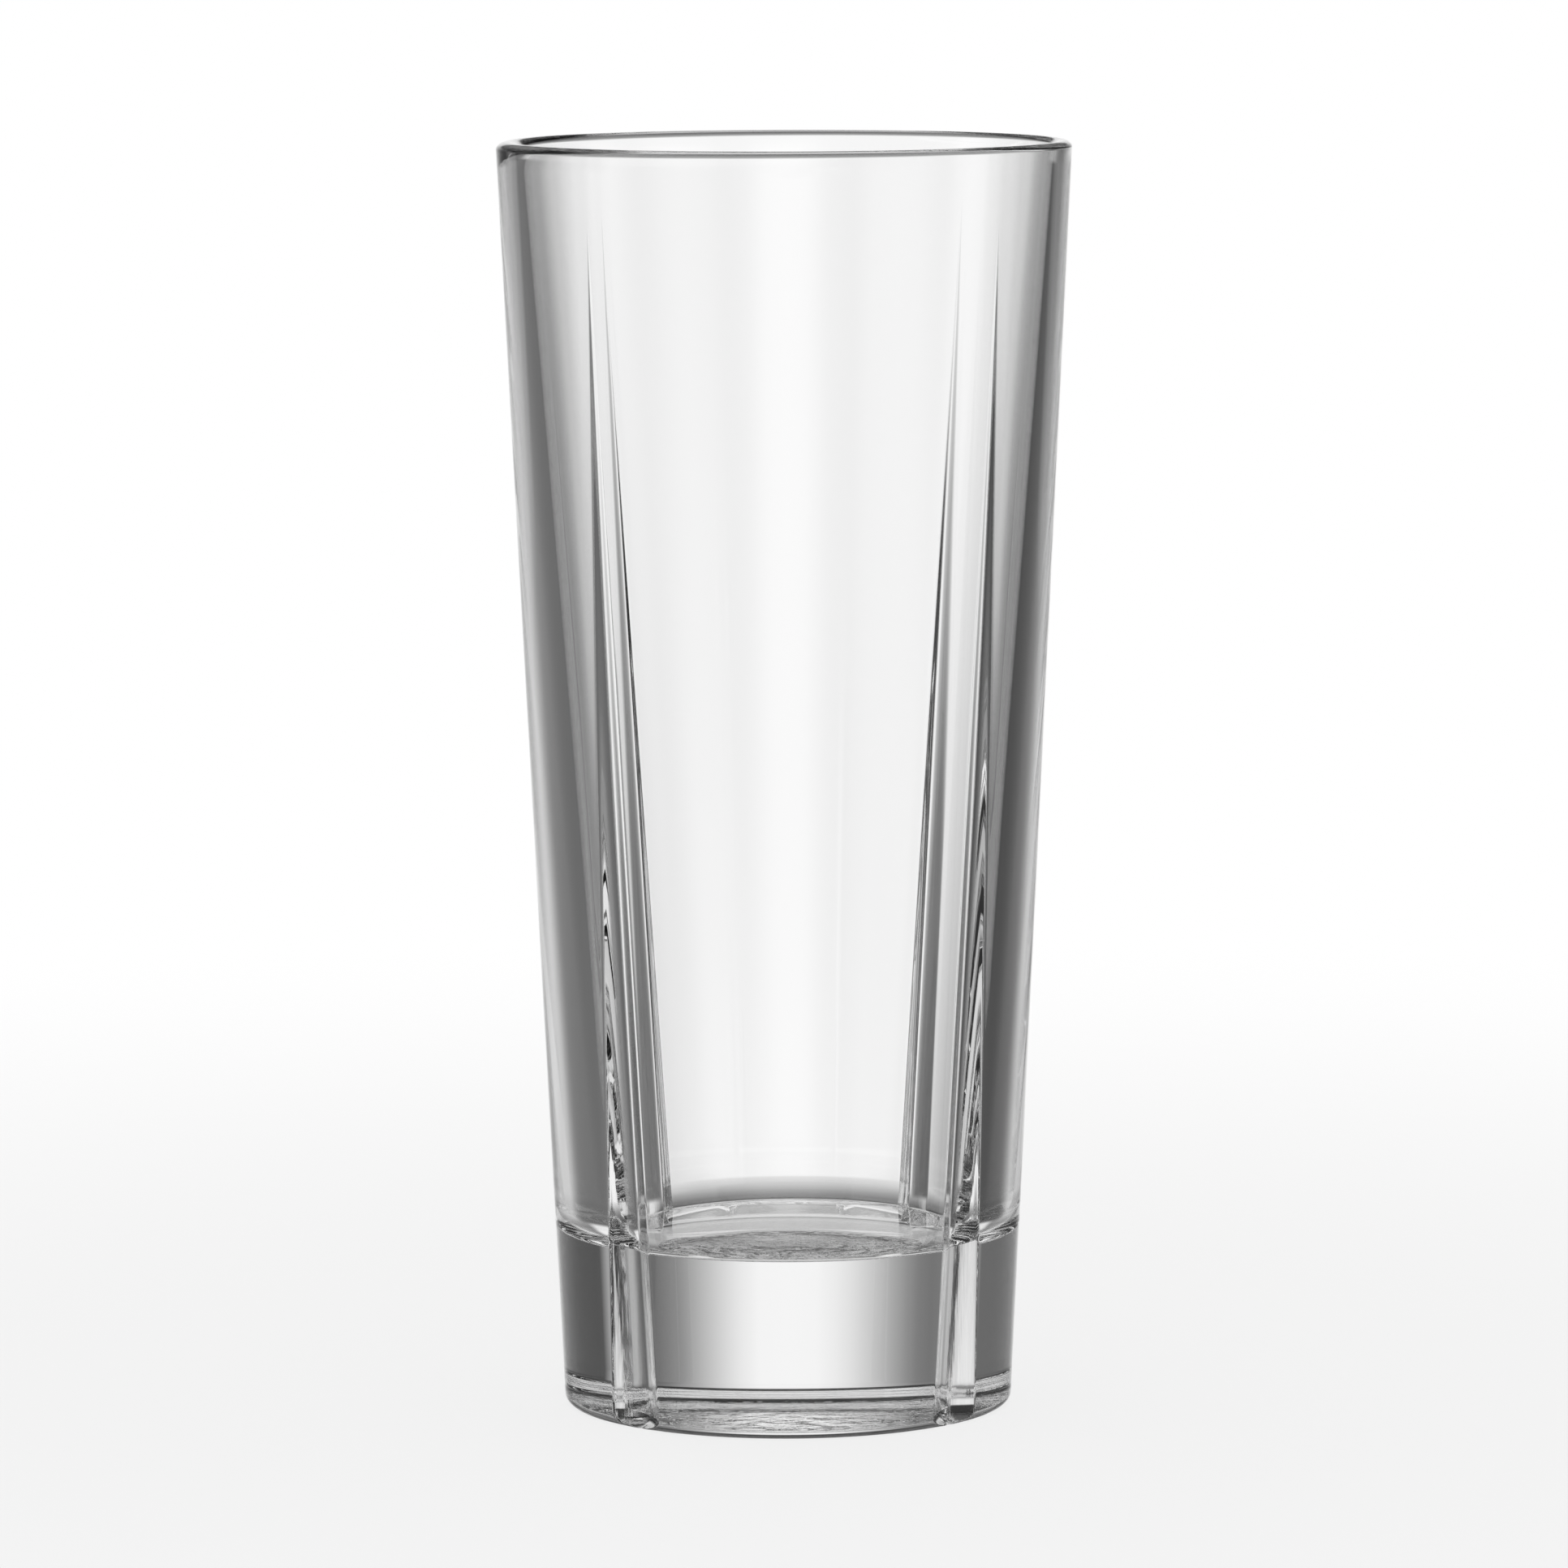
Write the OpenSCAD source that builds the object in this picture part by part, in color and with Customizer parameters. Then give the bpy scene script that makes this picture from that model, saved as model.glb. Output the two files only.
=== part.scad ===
// Highball tumbler in one piece of thick pressed glass.
// A round cone that widens to the rim, with four narrow flutes that start as points
// under the rim and widen down to the foot, a heavy base and a tapered cavity.
// Millimetres. +Z is up, and the origin is the middle of the foot, on the table.

/* [Body] */
// Height from the table to the top of the rim
glass_h = 150; // [110:1:190]
// Outside diameter that the wall reaches at the height of the rim
rim_d = 67.8; // [62:0.2:78]
// Outside diameter that the wall reaches at the table
foot_d = 53.2; // [48:0.2:58]
// Radius between the wall and the underside
foot_r = 1.3; // [0.6:0.1:3]

/* [Cavity] */
// Wall at the rim
rim_wall = 2.5; // [1.8:0.1:4]
// Height of the rim's crown, which is half an ellipse over the whole wall
rim_crown = 0.85; // [0.5:0.05:2]
// Wall at the level of the cavity's floor
floor_wall = 6.3; // [4:0.1:8]
// Glass under the cavity's floor
base_t = 20.5; // [10:0.5:35]
// Width of the rounded corner between the cavity's wall and its floor
corner_w = 1.2; // [0.6:0.1:4]
// Height of that corner
corner_h = 3.8; // [1:0.1:8]

/* [Underside] */
// Diameter of the hollow in the underside, inside the bearing ring
hollow_d = 33; // [20:0.5:40]
// Depth of that hollow in the middle
hollow_depth = 0.6; // [0.3:0.1:2]

/* [Flutes] */
// Number of flutes, evenly spaced
flute_count = 4; // [2:1:8]
// Distance from the rim down to the point of a flute
flute_gap = 8; // [5:0.5:40]
// Height over the table at which the rounded lower end of a flute begins
flute_end = 3.3; // [2.5:0.1:8]
// Depth of a flute at that height
flute_depth = 2.6; // [0.6:0.1:3.2]
// Radius of a flute's hollow at that height, and of its rounded end
flute_foot_r = 4.1; // [3.3:0.1:6]
// Radius of a flute's hollow at its point
flute_tip_r = 2.6; // [0.5:0.1:5]
// Power by which a flute deepens from its point down, where 1 is a straight bottom
flute_bend = 1.5; // [1:0.1:2]

/* [Hidden] */
glass_colour = [0.86, 0.9, 0.91, 0.35];

// How far a flute's cutter runs past its point
overrun = 2;
// Steps in each rounded stretch of the profile
arc_steps = 12;
// Steps along a flute's bottom
flute_steps = 6;
$fn = 96;

// The outside of the wall is a straight line in the profile, and so is the inside
outer_slope = (rim_d - foot_d) / 2 / glass_h;
outer_lean = atan(outer_slope);
function outer_at(z) = foot_d / 2 + z * outer_slope;
inner_foot = outer_at(base_t) - floor_wall;
inner_slope = (rim_d / 2 - rim_wall - inner_foot) / (glass_h - base_t);
function inner_at(z) = inner_foot + (z - base_t) * inner_slope;

// The rim's crown spans the wall where it starts, and follows both sides of the wall there
lip_z = glass_h - rim_crown;
lip_x = (outer_at(lip_z) + inner_at(lip_z)) / 2;
lip_half = (outer_at(lip_z) - inner_at(lip_z)) / 2;
lip_start = -atan(outer_slope * rim_crown / lip_half);
lip_end = 180 - atan(inner_slope * rim_crown / lip_half);

// Middle of the arc at the foot
foot_x = outer_at(foot_r) - foot_r / cos(outer_lean);

// The cavity's corner is a quarter of an ellipse that follows the wall where it starts
corner_z = base_t + corner_h;
corner_x = inner_at(corner_z) - norm([corner_w, inner_slope * corner_h]);
corner_start = -atan(inner_slope * corner_h / corner_w);

// The hollow in the underside is part of a ball
hollow_ball_r = (pow(hollow_d / 2, 2) + pow(hollow_depth, 2)) / (2 * hollow_depth);
hollow_angle = asin(hollow_d / 2 / hollow_ball_r);

// The middle line of a flute's cutter lies outside the wall, and its radius reaches the
// bottom of the flute, which deepens from the point on the wall down
flute_tip_z = glass_h - flute_gap;
flute_foot_out = flute_foot_r - flute_depth;
flute_foot_x = outer_at(flute_end) + flute_foot_out;
flute_tip_x = outer_at(flute_tip_z) + flute_tip_r;
flute_rise = flute_tip_z - flute_end;
flute_lean = atan((flute_tip_x - flute_foot_x) / flute_rise);
flute_len = flute_rise / cos(flute_lean);
function flute_r(rise) = let (left = 1 - rise)
    flute_tip_r + (flute_foot_out - flute_tip_r) * left + flute_depth * pow(left, flute_bend);
flute_growth = (flute_tip_r - flute_r(1 - 1 / flute_steps)) * flute_steps / flute_len;

// Points on an ellipse round [x, z], from one angle to another
function oval(x, z, half_w, half_h, from, to) =
    [for (i = [0:arc_steps]) let (a = from + (to - from) * i / arc_steps)
        [x + half_w * cos(a), z + half_h * sin(a)]];

// Points on an arc round [x, z]
function arc(x, z, r, from, to) = oval(x, z, r, r, from, to);

// Half of the glass's section, from the middle of the underside round to the cavity's floor
module section() {
    polygon(concat(
        arc(0, hollow_depth - hollow_ball_r, hollow_ball_r, 90, 90 - hollow_angle),
        arc(foot_x, foot_r, foot_r, -90, -outer_lean),
        oval(lip_x, lip_z, lip_half, rim_crown, lip_start, lip_end),
        oval(corner_x, corner_z, corner_w, corner_h, corner_start, -90),
        [[0, base_t]]
    ));
}

// Slim spindle with a ball-shaped lower end that cuts one flute. It leans with the wall and
// runs out at its point.
module flute_cutter() {
    translate([flute_foot_x, 0, flute_end])
        rotate([0, flute_lean, 0])
            rotate_extrude()
                polygon(concat(
                    arc(0, 0, flute_foot_r, -90, 0),
                    [for (i = [1:flute_steps]) let (rise = i / flute_steps)
                        [flute_r(rise), flute_len * rise]],
                    [
                        [flute_tip_r + flute_growth * overrun, flute_len + overrun],
                        [0, flute_len + overrun]
                    ]
                ));
}

// The whole glass, with the flutes on the diagonals
module tumbler() {
    color(glass_colour)
        difference() {
            rotate_extrude() section();
            for (i = [0:flute_count - 1])
                rotate([0, 0, (i + 0.5) * 360 / flute_count]) flute_cutter();
        }
}

tumbler();
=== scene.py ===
"""A highball glass on a pale floor.

The glass is one piece of thick clear glass. Its surface is one closed grid: a profile carried
round the axis, with the flutes taken out of the wall. Lengths are in metres, and +Z is up.
"""

import math

import bpy
import numpy as np
from mathutils import Euler, Matrix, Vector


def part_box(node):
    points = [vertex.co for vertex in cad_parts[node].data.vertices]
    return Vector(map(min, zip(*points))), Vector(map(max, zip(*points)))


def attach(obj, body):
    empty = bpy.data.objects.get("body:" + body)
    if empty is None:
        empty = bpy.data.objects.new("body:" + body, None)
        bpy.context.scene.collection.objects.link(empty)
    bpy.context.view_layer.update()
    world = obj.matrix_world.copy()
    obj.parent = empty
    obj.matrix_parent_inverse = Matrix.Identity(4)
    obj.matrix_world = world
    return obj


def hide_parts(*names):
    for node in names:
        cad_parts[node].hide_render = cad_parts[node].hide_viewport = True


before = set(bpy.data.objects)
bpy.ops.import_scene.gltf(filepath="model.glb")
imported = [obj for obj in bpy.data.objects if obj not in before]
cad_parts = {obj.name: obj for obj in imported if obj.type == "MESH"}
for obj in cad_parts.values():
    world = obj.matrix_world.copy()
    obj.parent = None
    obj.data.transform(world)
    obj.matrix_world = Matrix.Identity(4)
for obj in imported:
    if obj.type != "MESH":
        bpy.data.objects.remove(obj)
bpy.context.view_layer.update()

MM = 0.001

# Wall of the glass, as in the solid that it stands for. A box has a lowest and a highest corner
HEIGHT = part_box("tumbler")[1].z
FOOT_RADIUS = 26.6 * MM
RIM_RADIUS = 33.9 * MM
FOOT_ROUND = 1.3 * MM
RIM_WALL = 2.5 * MM
RIM_CROWN = 0.85 * MM

# Cavity. The shift moves it off the axis, towards +X
BASE_THICKNESS = 20.5 * MM
FLOOR_WALL = 6.3 * MM
CORNER_WIDTH = 1.2 * MM
CORNER_HEIGHT = 3.8 * MM
CAVITY_SHIFT = 0.35 * MM

# Hollow in the underside
HOLLOW_RADIUS = 16.5 * MM
HOLLOW_DEPTH = 0.6 * MM

# Flutes, on the diagonals. The width and the slope of the sides are those at the lower end
FLUTE_COUNT = 4
FLUTE_GAP = 8.0 * MM
FLUTE_END = 1.5 * MM
FLUTE_WIDTH = 7.3 * MM
FLUTE_SLOPE = 0.71
FLUTE_SLOPE_POWER = 0.5

# Roundings at a flute's bottom and edges. One takes no more than a share of the flute's depth,
# and the one at the edges is never quite 0
FLUTE_BOTTOM_ROUND = 0.25 * MM
FLUTE_EDGE_ROUND = 0.18 * MM
FLUTE_ROUND_SHARE = 0.3
LEAST_ROUND = 0.001 * MM

# Points along each stretch of the profile
HOLLOW_POINTS = 24
RING_POINTS = 6
FOOT_POINTS = 14
WALL_POINTS = 150
RIM_POINTS = 33
CAVITY_POINTS = 60
CORNER_POINTS = 24
FLOOR_POINTS = 14

# Half the angle that the grid's columns leave to a flute where it has no width
LEAST_ANGLE = math.radians(0.5)

# Unit of the heights that the bump takes
BUMP_UNIT = 0.1 * MM

# Streaks in the flutes. They are whole up to STREAK_FULL, fade to STREAK_FAINT at STREAK_TOP, and
# need a flute that is as deep as STREAK_DEPTH
STREAK_ROUGHNESS = 0.08
STREAK_HEIGHT = 0.3
STREAK_SCALE = 1500
STREAK_DETAIL = 2
STREAK_STRETCH = 0.06
STREAK_FULL = 15 * MM
STREAK_TOP = 45 * MM
STREAK_FAINT = 0.05
STREAK_DEPTH = 0.3 * MM

# Stipple in the hollow of the underside
STIPPLE_ROUGHNESS = 0.1
STIPPLE_HEIGHT = 70.0
STIPPLE_SCALE = 420
STIPPLE_DETAIL = 3

# Refraction of the glass, and its absorption per metre
GLASS_IOR = 1.52
GLASS_DENSITY = 1.2

# Floor. It fades out between two shares of its radius
FLOOR_RADIUS = 0.45
FLOOR_RINGS = 12
FLOOR_COLUMNS = 96
FLOOR_GREY = 0.95
FLOOR_ROUGHNESS = 0.7
FLOOR_ALPHA = 0.2
FLOOR_FADE = (0.2, 0.95)

# Power that turns a displayed grey into an amount of light
DISPLAY_POWER = 2.2

# Greys of the studio that the glass sees at its own level, on its right and on its left. Each stop
# is a bearing in degrees from the far side, and a displayed grey
RIGHT_FIELDS = [
    (0, 1.0), (5, 0.995), (8, 0.95), (10, 0.9), (13, 0.81), (16, 0.71), (19, 0.6), (22, 0.5),
    (25, 0.42), (28, 0.38), (34, 0.35), (45, 0.31), (60, 0.29), (68, 0.32), (75, 0.43), (84, 0.7),
    (90, 0.88), (97, 0.84), (104, 0.6), (112, 0.5), (122, 0.85), (132, 0.95), (144, 0.85),
    (152, 0.5), (162, 0.6), (172, 0.92), (180, 0.95),
]
LEFT_FIELDS = [
    (0, 1.0), (5, 0.995), (8, 0.965), (10, 0.93), (13, 0.85), (16, 0.77), (19, 0.67), (22, 0.57),
    (25, 0.49), (28, 0.45), (34, 0.43), (45, 0.42), (60, 0.4), (68, 0.4), (75, 0.5), (82, 0.75),
    (88, 0.95), (97, 0.95), (103, 0.7), (112, 0.45), (140, 0.38), (152, 0.42), (162, 0.6),
    (172, 0.92), (180, 0.95),
]

# A low bright panel stands in the grey on each side, with stops of the same kind
RIGHT_PANEL = [(0, 0.0), (28, 0.0), (32, 0.45), (36, 0.66), (40, 0.64), (44, 0.0), (180, 0.0)]
LEFT_PANEL = [(0, 0.0), (29, 0.0), (33, 0.55), (37, 0.78), (43, 0.76), (47, 0.0), (180, 0.0)]

# Painted shadow of the glass on the table on its far side: greys that darken further below the
# level. Each stop is an angle in degrees below the level, and a displayed grey
PAINTED_TABLE_SHADOW = [
    (0, 1.0), (10, 0.96), (13, 0.86), (16, 0.74), (19, 0.62), (24, 0.5), (32, 0.38), (40, 0.24),
    (50, 0.16), (62, 0.12), (180, 0.12),
]

# Displayed greys of the table elsewhere and straight below, and of the strip over the fields
TABLE_GREY = 0.97
UNDER_GREY = 0.8
STRIP_GREY = 0.2

# Heights in degrees, from the level, over which one part of the studio gives way to the next
PANEL_FOOT = (-7.2, -6.2)
PANEL_TOP = (6, 3)
TABLE_SHADE = (-11, -12)
TABLE_START = (-16, -21)
UNDER_START = (-40, -52)
STRIP_START = (7, 11)
CEILING_START = (35, 52)

# Bearings in degrees over which the rest of the table gives way to the painted shadow on its far
# side
SHADOW_BEARINGS = (40, 28)

# Camera, aimed at the middle of the glass. Angles are in radians. The focal length and the shift
# are in pixels of the photograph, and the sensor's width is in millimetres
PHOTO_SIZE = 1932
CAMERA_AZIMUTH = math.radians(-2.5)
CAMERA_ELEVATION = 0.1123
CAMERA_ROLL = math.radians(-0.195)
CAMERA_DISTANCE = 1.0241
FOCAL_PIXELS = 10650.5
SHIFT_PIXELS = (-2.5, -11.6)
SENSOR_WIDTH = 36.0

# Light goes round and round inside the thick base before it leaves
LIGHT_BOUNCES = 24

OUTER_SLOPE = (RIM_RADIUS - FOOT_RADIUS) / HEIGHT


def outer_radius(z):
    """Radius of the wall's outside at height z: a straight line from foot to rim."""
    return FOOT_RADIUS + OUTER_SLOPE * z


INNER_FOOT = outer_radius(BASE_THICKNESS) - FLOOR_WALL
INNER_SLOPE = (RIM_RADIUS - RIM_WALL - INNER_FOOT) / (HEIGHT - BASE_THICKNESS)


def inner_radius(z):
    """Radius of the cavity's wall at height z: a straight line from floor to rim."""
    return INNER_FOOT + INNER_SLOPE * (z - BASE_THICKNESS)


def oval(x, z, half_width, half_height, start, end, count):
    """Points on an ellipse round (x, z), from one angle to another, in degrees."""
    a = np.radians(np.linspace(start, end, count))
    return np.stack([x + half_width * np.cos(a), z + half_height * np.sin(a)], 1)


def arc(x, z, r, start, end, count):
    """Points on a circle of radius r round (x, z)."""
    return oval(x, z, r, r, start, end, count)


def line(start, end, count):
    """Points between two ends, both left out."""
    t = np.linspace(0, 1, count + 2)[1:-1, None]
    return np.asarray(start) * (1 - t) + np.asarray(end) * t


def glass_profile():
    """Half section of the glass without flutes, from the underside's middle to the floor's.

    Returns the points, whether each lies on the outside of the wall or the foot, and how far it
    belongs to the cavity, which grows from 0 to 1 over the rim.
    """
    outer_lean = math.degrees(math.atan(OUTER_SLOPE))
    lip_z = HEIGHT - RIM_CROWN
    lip_x = (outer_radius(lip_z) + inner_radius(lip_z)) / 2
    lip_half = (outer_radius(lip_z) - inner_radius(lip_z)) / 2
    lip_start = -math.degrees(math.atan(OUTER_SLOPE * RIM_CROWN / lip_half))
    lip_end = 180 - math.degrees(math.atan(INNER_SLOPE * RIM_CROWN / lip_half))
    foot_x = outer_radius(FOOT_ROUND) - FOOT_ROUND / math.cos(math.radians(outer_lean))
    corner_z = BASE_THICKNESS + CORNER_HEIGHT
    corner_x = inner_radius(corner_z) - math.hypot(CORNER_WIDTH, INNER_SLOPE * CORNER_HEIGHT)
    corner_start = -math.degrees(math.atan(INNER_SLOPE * CORNER_HEIGHT / CORNER_WIDTH))
    ball = (HOLLOW_RADIUS**2 + HOLLOW_DEPTH**2) / (2 * HOLLOW_DEPTH)
    reach = math.degrees(math.asin(HOLLOW_RADIUS / ball))

    hollow = arc(0, HOLLOW_DEPTH - ball, ball, 90, 90 - reach, HOLLOW_POINTS)
    foot = arc(foot_x, FOOT_ROUND, FOOT_ROUND, -90, -outer_lean, FOOT_POINTS)
    rim = oval(lip_x, lip_z, lip_half, RIM_CROWN, lip_start, lip_end, RIM_POINTS)
    corner = oval(
        corner_x, corner_z, CORNER_WIDTH, CORNER_HEIGHT, corner_start, -90, CORNER_POINTS
    )
    ring = line(hollow[-1], foot[0], RING_POINTS)
    wall = line(foot[-1], rim[0], WALL_POINTS)
    cavity = line(rim[-1], corner[0], CAVITY_POINTS)
    middle = np.array([[0, BASE_THICKNESS]])
    floor = line(corner[-1], middle[0], FLOOR_POINTS)
    points = np.concatenate([hollow, ring, foot, wall, rim, cavity, corner, floor, middle])

    rows = np.arange(len(points))
    first_foot = len(hollow) + len(ring)
    first_rim = first_foot + len(foot) + len(wall)
    fluted = (rows >= first_foot) & (rows < first_rim)
    within = np.clip((rows - first_rim) / (len(rim) - 1), 0, 1)
    return points, fluted, within


def flute_share(z):
    """How far down a flute height z lies: 0 at its point and above, and 1 at FLUTE_END."""
    return np.clip((HEIGHT - FLUTE_GAP - z) / (HEIGHT - FLUTE_GAP - FLUTE_END), 0, 1)


def flute_half_width(z):
    """Half of a flute's width at height z.

    It grows evenly from the flute's point down to FLUTE_END, and then it closes as an oval.
    """
    drop = np.clip((FLUTE_END - z) / FLUTE_END, 0, 1)
    return FLUTE_WIDTH / 2 * flute_share(z) * np.sqrt(1 - drop**2)


def flute_slope(z):
    """Slope of a flute's sides at height z. They steepen from its point down."""
    return FLUTE_SLOPE * flute_share(z) ** FLUTE_SLOPE_POWER


def column_places():
    """Places of the grid's columns on both sides of a flute, up to the middles of the panels.

    From its bottom to its edge they run from 0 to 1, and from there to a panel's middle from 1
    to 2. They lie close together at the bottom and at the edge.
    """
    inside = [0, 0.02, 0.045, 0.08, 0.14, 0.25, 0.42, 0.6, 0.78, 0.9, 0.95, 0.98, 1]
    beside = [1.003, 1.006, 1.01, 1.017, 1.03]
    half = np.concatenate([inside, beside, np.linspace(1.06, 2, 13)])
    return np.concatenate([-half[:0:-1], half])[:-1]


def glass_grid():
    """Grid of the glass's surface: the profile turned round the axis, with flutes in the wall.

    Columns follow the flutes' edges. A flute's sides slope evenly to a rounded bottom: at an
    angle o from its middle, r cos o = k + sqrt(b^2 + (s r sin o)^2), where b is the rounding, s is
    the slope, and k brings the sides to the wall at the flute's edges. The wall's radius is the
    lesser of the cone's and that one, joined by a small rounding. Returns the grid, and the masks
    of the stipple and the streaks.
    """
    points, fluted, within = glass_profile()
    radius, height = points[:, 0], points[:, 1]
    wall = outer_radius(height)[:, None]
    width = flute_half_width(height)[:, None]
    slope = flute_slope(height)[:, None]

    # Angle of each column from the middle of its flute
    places = column_places()[None, :]
    far = np.abs(places)
    edge = np.maximum(np.arcsin(width / wall), LEAST_ANGLE)
    sector = math.pi / FLUTE_COUNT
    offset = np.where(far <= 1, far * edge, edge + (far - 1) * (sector - edge)) * np.sign(places)

    # Radius of the flute's sides there, as the greater root of its equation
    most_round = FLUTE_ROUND_SHARE * slope * width
    b = np.minimum(FLUTE_BOTTOM_ROUND, most_round)
    k = np.sqrt(wall**2 - width**2) - np.sqrt(b**2 + (slope * width) ** 2)
    c, s = np.cos(offset), slope * np.sin(offset)
    root = np.sqrt(np.maximum((c * k) ** 2 - (c**2 - s**2) * (k**2 - b**2), 0))
    gap = (c * k + root) / (c**2 - s**2) - wall
    rounding = np.minimum(FLUTE_EDGE_ROUND, most_round) + LEAST_ROUND
    blend = np.maximum(rounding - np.abs(gap), 0) ** 2 / (4 * rounding)
    cut = np.where(fluted[:, None], np.minimum(gap, 0) - blend, 0)

    turns = [(flute + 0.5) * 2 * sector + offset for flute in range(FLUTE_COUNT)]
    angle = np.concatenate(turns, 1)
    reach = np.tile(radius[:, None] + cut, (1, FLUTE_COUNT))
    x = reach * np.cos(angle) + CAVITY_SHIFT * within[:, None]
    y = reach * np.sin(angle)
    z = np.repeat(height[:, None], x.shape[1], 1)

    # The hollow's last point has its radius but for the last digit, and its middle stays polished
    under = (radius <= HOLLOW_RADIUS * 1.001) & (height < BASE_THICKNESS / 2)
    under[0] = False
    wear = np.interp(height, [STREAK_FULL, STREAK_TOP], [1, STREAK_FAINT])[:, None]
    masks = {
        "stipple": np.repeat(under[:, None] * 1.0, x.shape[1], 1),
        "streaks": np.tile(np.clip(-cut / STREAK_DEPTH, 0, 1) * wear, (1, FLUTE_COUNT)),
    }
    return np.stack([x, y, z], 2), masks


def ring_faces(rings, columns):
    """Quads between closed rings of points, and triangles from the first ring to point 0.

    The rings' points follow point 0, ring by ring. Seen from where the rings run anticlockwise,
    the faces turn their backs, as on the underside of the glass.
    """
    row, column = np.meshgrid(np.arange(rings - 1), np.arange(columns), indexing="ij")
    a = 1 + row * columns + column
    b = 1 + row * columns + (column + 1) % columns
    quads = np.stack([a, b, b + columns, a + columns], 2).reshape(-1, 4)
    ring = np.arange(columns)
    fan = np.stack([np.zeros_like(ring), 1 + (ring + 1) % columns, 1 + ring], 1)
    return quads, fan


def new_mesh(name, verts, faces):
    """Mesh of an array of points and several arrays of faces."""
    mesh = bpy.data.meshes.new(name)
    mesh.from_pydata(verts.tolist(), [], [face for rows in faces for face in rows.tolist()])
    mesh.update()
    return mesh


def closed_mesh(name, grid):
    """Smooth mesh of a grid whose first and last rows are poles, and whose columns close."""
    rows, columns = grid.shape[:2]
    verts = np.concatenate([grid[:1, 0], grid[1:-1].reshape(-1, 3), grid[-1:, 0]])
    quads, first_fan = ring_faces(rows - 2, columns)
    ring = np.arange(columns)
    start = 1 + (rows - 3) * columns
    last = np.full_like(ring, len(verts) - 1)
    last_fan = np.stack([last, start + ring, start + (ring + 1) % columns], 1)
    mesh = new_mesh(name, verts, [quads, first_fan, last_fan])
    mesh.polygons.foreach_set("use_smooth", np.ones(len(mesh.polygons), bool))
    return mesh


def add_mask(mesh, name, values):
    """Stores one value for each point of the grid, in the order of closed_mesh."""
    flat = np.concatenate([values[0, :1], values[1:-1].ravel(), values[-1, :1]])
    layer = mesh.attributes.new(name, "FLOAT", "POINT")
    layer.data.foreach_set("value", flat.astype(np.float32))


def floor_mesh():
    """Round floor that faces up: (x, y) = r (cos a, sin a) on rings of radius r."""
    rings = FLOOR_RADIUS * np.linspace(0, 1, FLOOR_RINGS + 1)[1:]
    turns = np.linspace(0, 2 * math.pi, FLOOR_COLUMNS + 1)[:-1]
    x = np.outer(rings, np.cos(turns)).ravel()
    y = np.outer(rings, np.sin(turns)).ravel()
    verts = np.concatenate([np.zeros((1, 3)), np.stack([x, y, np.zeros_like(x)], 1)])
    quads, fan = ring_faces(FLOOR_RINGS, FLOOR_COLUMNS)
    return new_mesh("floor", verts, [quads[:, ::-1], fan[:, ::-1]])


def add_object(name, mesh, material):
    """Puts a mesh into the scene with its material."""
    made = bpy.data.objects.new(name, mesh)
    mesh.materials.append(material)
    bpy.context.scene.collection.objects.link(made)
    return made


def new_material(name):
    """A material with nodes. Returns it, its tree and its shader."""
    material = bpy.data.materials.new(name)
    material.use_nodes = True
    tree = material.node_tree
    return material, tree, tree.nodes["Principled BSDF"]


def feed(tree, value, socket):
    """Sets a socket to a number or a colour, or links it to another node's output."""
    if isinstance(value, bpy.types.NodeSocket):
        tree.links.new(value, socket)
    else:
        socket.default_value = value


def math_node(tree, operation, *values):
    """Result of a Math node on one or two values."""
    made = tree.nodes.new("ShaderNodeMath")
    made.operation = operation
    for value, socket in zip(values, made.inputs):
        feed(tree, value, socket)
    return made.outputs[0]


def smooth_step(tree, value, start, end, low=0.0, high=1.0):
    """Smooth change from low to high, while a value goes from start to end."""
    made = tree.nodes.new("ShaderNodeMapRange")
    made.interpolation_type = "SMOOTHSTEP"
    made.inputs["From Min"].default_value = start
    made.inputs["From Max"].default_value = end
    made.inputs["To Min"].default_value = low
    made.inputs["To Max"].default_value = high
    tree.links.new(value, made.inputs["Value"])
    return made.outputs["Result"]


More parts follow.
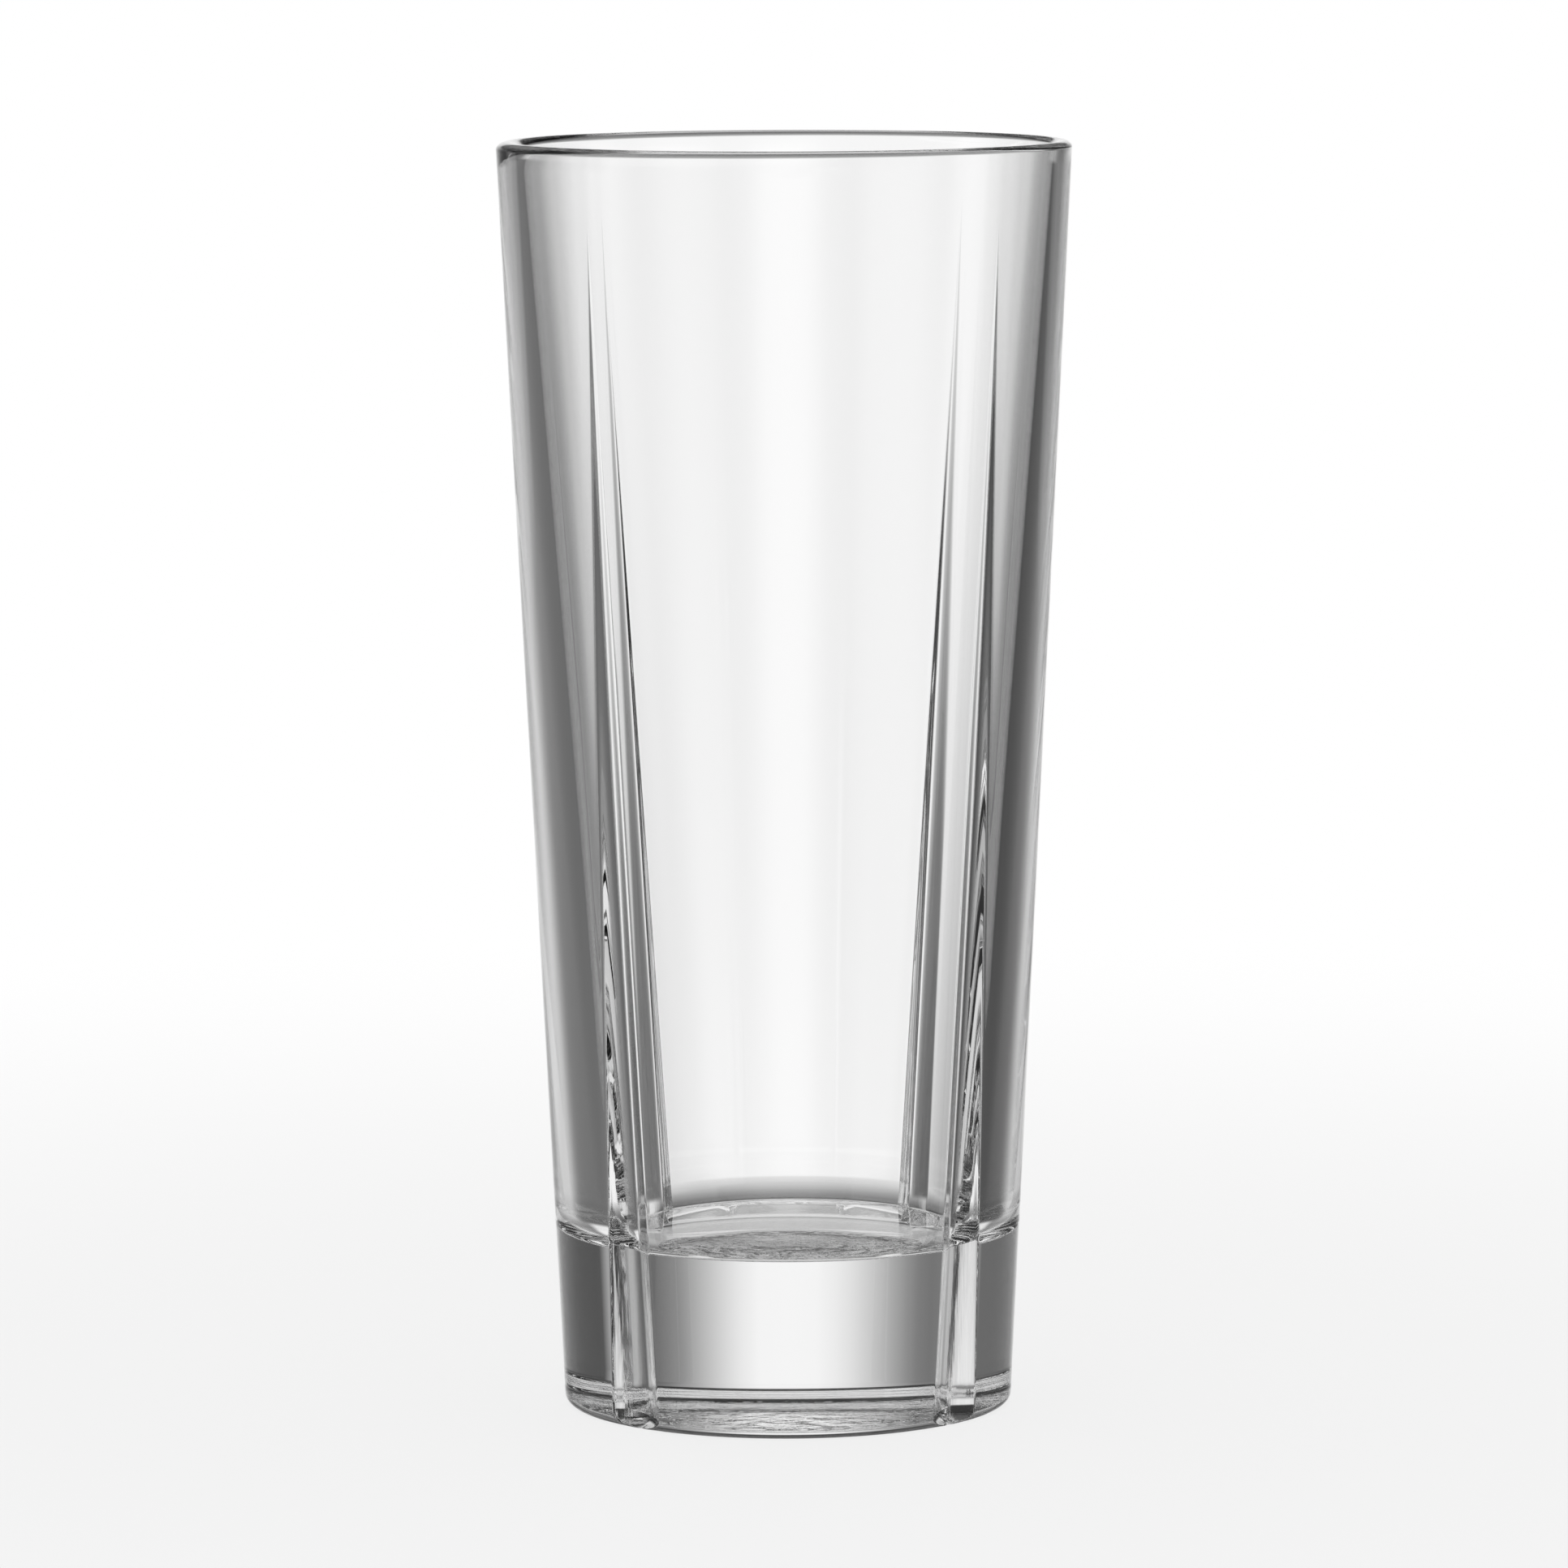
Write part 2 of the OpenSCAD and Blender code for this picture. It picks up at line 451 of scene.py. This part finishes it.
def clear_glass():
    """Clear pressed glass: polished, but stippled under the foot and streaked in the flutes.

    The mesh carries a mask for each of the two.
    """
    material, tree, shader = new_material("clear_glass")
    shader.inputs["Base Color"].default_value = (1, 1, 1, 1)
    shader.inputs["IOR"].default_value = GLASS_IOR
    shader.inputs["Transmission Weight"].default_value = 1.0

    def noise(vector, scale, detail):
        made = tree.nodes.new("ShaderNodeTexNoise")
        made.inputs["Scale"].default_value = scale
        made.inputs["Detail"].default_value = detail
        tree.links.new(vector, made.inputs["Vector"])
        return made.outputs["Fac"]

    def mask(name):
        made = tree.nodes.new("ShaderNodeAttribute")
        made.attribute_name = name
        return made.outputs["Fac"]

    def product(first, second):
        return math_node(tree, "MULTIPLY", first, second)

    def total(first, second):
        return math_node(tree, "ADD", first, second)

    coords = tree.nodes.new("ShaderNodeTexCoord").outputs["Object"]
    stretched = tree.nodes.new("ShaderNodeVectorMath")
    stretched.operation = "MULTIPLY"
    stretched.inputs[1].default_value = (1, 1, STREAK_STRETCH)
    tree.links.new(coords, stretched.inputs[0])

    stippled = mask("stipple")
    worn = mask("streaks")
    speckle = noise(coords, STIPPLE_SCALE, STIPPLE_DETAIL)
    streak = noise(stretched.outputs[0], STREAK_SCALE, STREAK_DETAIL)

    stipple_rough = product(product(speckle, STIPPLE_ROUGHNESS), stippled)
    rough = total(stipple_rough, product(worn, STREAK_ROUGHNESS))
    tree.links.new(rough, shader.inputs["Roughness"])

    pits = product(product(speckle, STIPPLE_HEIGHT), stippled)
    height = total(product(product(streak, worn), STREAK_HEIGHT), pits)
    bump = tree.nodes.new("ShaderNodeBump")
    bump.inputs["Strength"].default_value = 1.0
    bump.inputs["Distance"].default_value = BUMP_UNIT
    tree.links.new(height, bump.inputs["Height"])
    tree.links.new(bump.outputs["Normal"], shader.inputs["Normal"])

    depth = tree.nodes.new("ShaderNodeVolumeAbsorption")
    depth.inputs["Color"].default_value = (0, 0, 0, 1)
    depth.inputs["Density"].default_value = GLASS_DENSITY
    tree.links.new(depth.outputs["Volume"], tree.nodes["Material Output"].inputs["Volume"])
    return material


def floor_material():
    """Faint matt floor. Its alpha falls to 0 with the distance from the glass."""
    material, tree, shader = new_material("floor")
    shader.inputs["Base Color"].default_value = (FLOOR_GREY, FLOOR_GREY, FLOOR_GREY, 1)
    shader.inputs["Roughness"].default_value = FLOOR_ROUGHNESS
    coords = tree.nodes.new("ShaderNodeTexCoord")
    length = tree.nodes.new("ShaderNodeVectorMath")
    length.operation = "LENGTH"
    tree.links.new(coords.outputs["Object"], length.inputs[0])
    start, end = (share * FLOOR_RADIUS for share in FLOOR_FADE)
    alpha = smooth_step(tree, length.outputs["Value"], start, end, FLOOR_ALPHA, 0.0)
    tree.links.new(alpha, shader.inputs["Alpha"])
    return material


def studio_world():
    """White for the camera, and soft bright fields for the glass.

    The fields stand on the far side, at the sides and behind the camera. Between them the studio
    is grey, with two low panels in it. A dark strip lies over them all, under a white ceiling.
    Below them the table darkens on the far side of the glass, as a painted shadow of the glass,
    and it is pale straight below.
    """
    world = bpy.data.worlds.new("studio")
    bpy.context.scene.world = world
    world.use_nodes = True
    tree = world.node_tree
    tree.nodes.clear()

    def grey(value):
        """Colour of a displayed grey."""
        light = value**DISPLAY_POWER
        return (light, light, light, 1)

    def grey_ramp(share, stops):
        """Ramp of displayed greys over half a turn, with stops in degrees."""
        made = tree.nodes.new("ShaderNodeValToRGB")
        tree.links.new(share, made.inputs[0])
        elements = made.color_ramp.elements
        elements[1].position = 1
        for degrees, _ in stops[1:-1]:
            elements.new(degrees / 180)
        for element, (_, value) in zip(elements, stops):
            element.color = grey(value)
        return made.outputs[0]

    def mix(factor, first, second, blend="MIX"):
        """Mix of two colours: inputs 6 and 7 of a Mix node, and its output 2."""
        made = tree.nodes.new("ShaderNodeMix")
        made.data_type = "RGBA"
        made.blend_type = blend
        for value, place in ((factor, 0), (first, 6), (second, 7)):
            feed(tree, value, made.inputs[place])
        return made.outputs[2]

    split = tree.nodes.new("ShaderNodeSeparateXYZ")
    tree.links.new(tree.nodes.new("ShaderNodeTexCoord").outputs["Generated"], split.inputs[0])
    x, y, z = split.outputs
    bearing = math_node(tree, "ADD", math_node(tree, "ARCTAN2", x, y), CAMERA_AZIMUTH)
    bearing_share = math_node(tree, "DIVIDE", math_node(tree, "ABSOLUTE", bearing), math.pi)
    on_left = math_node(tree, "LESS_THAN", bearing, 0.0)
    drop = math_node(tree, "MULTIPLY", math_node(tree, "ARCSINE", z), -1.0)
    drop_share = math_node(tree, "DIVIDE", drop, math.pi)

    def both_sides(right, left):
        """The right stops on the right, and the left ones on the left."""
        return mix(on_left, grey_ramp(bearing_share, right), grey_ramp(bearing_share, left))

    def between(heights):
        """Share that goes from 0 to 1 between two heights in degrees."""
        start, end = (math.sin(math.radians(height)) for height in heights)
        return smooth_step(tree, z, start, end)

    fields = both_sides(RIGHT_FIELDS, LEFT_FIELDS)
    panels = both_sides(RIGHT_PANEL, LEFT_PANEL)
    panel_height = math_node(tree, "MULTIPLY", between(PANEL_FOOT), between(PANEL_TOP))
    level = mix(panel_height, fields, panels, "LIGHTEN")

    # The far side of the table carries a painted shadow of the glass, darker further below the
    # level
    painted_shadow = grey_ramp(drop_share, PAINTED_TABLE_SHADOW)
    start, end = (degrees / 180 for degrees in SHADOW_BEARINGS)
    table_with_shadow = mix(smooth_step(tree, bearing_share, start, end), grey(TABLE_GREY), painted_shadow)
    table_with_shadow = mix(between(UNDER_START), table_with_shadow, grey(UNDER_GREY))

    # Just below the level, the fields darken to the painted shadow wherever that is darker
    seen = mix(between(TABLE_SHADE), level, mix(1.0, level, painted_shadow, "DARKEN"))
    seen = mix(between(TABLE_START), seen, table_with_shadow)
    seen = mix(between(STRIP_START), seen, grey(STRIP_GREY))
    seen = mix(between(CEILING_START), seen, grey(1.0))
    light_path = tree.nodes.new("ShaderNodeLightPath")
    background = tree.nodes.new("ShaderNodeBackground")
    output = tree.nodes.new("ShaderNodeOutputWorld")
    seen = mix(light_path.outputs["Is Camera Ray"], seen, (1, 1, 1, 1))
    tree.links.new(seen, background.inputs[0])
    tree.links.new(background.outputs[0], output.inputs[0])


def add_camera():
    """Camera at the photograph's place and angle, looking at the middle of the glass."""
    data = bpy.data.cameras.new("camera")
    data.sensor_width = SENSOR_WIDTH
    data.lens = SENSOR_WIDTH * FOCAL_PIXELS / PHOTO_SIZE
    data.shift_x, data.shift_y = (pixels / PHOTO_SIZE for pixels in SHIFT_PIXELS)
    camera = bpy.data.objects.new("camera", data)
    bpy.context.scene.collection.objects.link(camera)
    level = CAMERA_DISTANCE * math.cos(CAMERA_ELEVATION)
    camera.location = (
        level * math.sin(CAMERA_AZIMUTH),
        -level * math.cos(CAMERA_AZIMUTH),
        HEIGHT / 2 + CAMERA_DISTANCE * math.sin(CAMERA_ELEVATION),
    )
    aim = Euler((math.pi / 2 - CAMERA_ELEVATION, 0, CAMERA_AZIMUTH)).to_matrix()
    camera.rotation_euler = (aim @ Matrix.Rotation(CAMERA_ROLL, 3, "Z")).to_euler()
    bpy.context.scene.camera = camera


grid, masks = glass_grid()
glass_mesh = closed_mesh("glass_body", grid)
for name, values in masks.items():
    add_mask(glass_mesh, name, values)
glass = add_object("glass_body", glass_mesh, clear_glass())
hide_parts("tumbler")
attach(glass, "root")

floor = add_object("floor", floor_mesh(), floor_material())
floor.visible_glossy = False
floor.visible_transmission = False

studio_world()
add_camera()

bpy.context.scene.cycles.max_bounces = LIGHT_BOUNCES
bpy.context.scene.cycles.glossy_bounces = LIGHT_BOUNCES
bpy.context.scene.cycles.transmission_bounces = LIGHT_BOUNCES

bpy.context.scene.view_settings.view_transform = "Standard"
